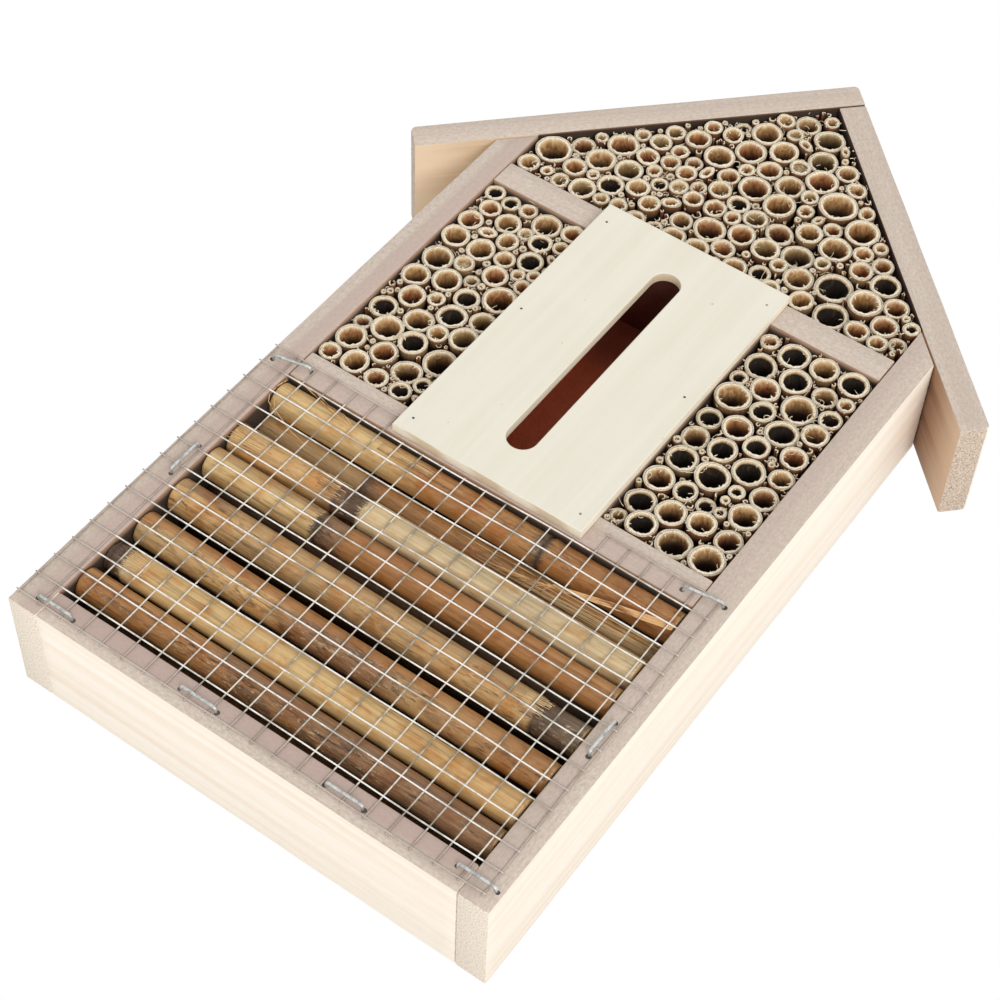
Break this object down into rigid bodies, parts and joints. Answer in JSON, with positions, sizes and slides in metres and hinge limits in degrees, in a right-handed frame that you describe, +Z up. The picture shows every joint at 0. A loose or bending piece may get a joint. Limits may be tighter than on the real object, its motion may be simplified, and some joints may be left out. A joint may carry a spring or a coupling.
{
  "type": "insect hotel",
  "caption": "Gabled wooden insect hotel with hollow reeds, a slotted butterfly chamber and bamboo canes behind welded wire mesh",
  "frame": {"origin": "middle of the underside of the base, halfway between the front plate's face and the back edges", "axes": "+Z up to the ridge, -Y out of the open front, +X to the right seen from the front"},
  "size_m": [0.1818, 0.0362, 0.2756],
  "materials": {
    "pine": "untreated planed pine, matt, fine straight grain, slightly furry saw-cut edges",
    "plywood": "pale smooth thin plywood, matt",
    "hardboard": "brown hardboard, matt, slightly fibrous",
    "reed": "dry hollow reed, satin skin, pale fibrous cut ends, darker bores",
    "bamboo": "weathered orange-brown bamboo, satin, dark streaks and nodes",
    "pale_bamboo": "straw-coloured bamboo, satin, fine lengthwise fibres",
    "galvanised_wire": "galvanised steel wire, bright with dull patches",
    "brad_steel": "small plain steel brads"
  },
  "bodies": {
    "root": {"left_side_board": "pine", "right_side_board": "pine", "base_board": "pine", "lower_shelf": "pine", "upper_shelf": "pine", "left_roof_board": "pine", "right_roof_board": "pine", "left_chamber_wall": "pine", "right_chamber_wall": "pine", "back_panel": "hardboard", "butterfly_plate": "plywood", "wire_mesh": "galvanised_wire", "staple_top_left": "galvanised_wire", "staple_left": "galvanised_wire", "staple_bottom_left": "galvanised_wire", "staple_bottom_inner_left": "galvanised_wire", "staple_bottom_inner_right": "galvanised_wire", "staple_bottom_right": "galvanised_wire", "staple_right": "galvanised_wire", "staple_top_right": "galvanised_wire", "plate_brad_1": "brad_steel", "plate_brad_2": "brad_steel", "plate_brad_3": "brad_steel", "plate_brad_4": "brad_steel", "plate_brad_5": "brad_steel", "plate_brad_6": "brad_steel", "front_cane_1": "bamboo", "front_cane_2": "pale_bamboo", "front_cane_3": "bamboo", "front_cane_4": "pale_bamboo", "front_cane_5": "bamboo", "front_cane_6": "pale_bamboo", "front_cane_7": "bamboo", "front_cane_8": "pale_bamboo", "middle_cane_1": "bamboo", "middle_cane_2": "bamboo", "middle_cane_3": "bamboo", "middle_cane_4": "bamboo", "middle_cane_5": "bamboo", "middle_cane_6": "bamboo", "middle_cane_7": "bamboo", "back_cane_1": "bamboo", "back_cane_2": "bamboo", "back_cane_3": "bamboo", "back_cane_4": "bamboo", "back_cane_5": "bamboo", "back_cane_6": "bamboo", "back_cane_7": "bamboo", "back_cane_8": "bamboo", "back_cane_9": "bamboo", "left_reeds": "reed", "right_reeds": "reed", "attic_reeds": "reed"}
  },
  "joints": []
}
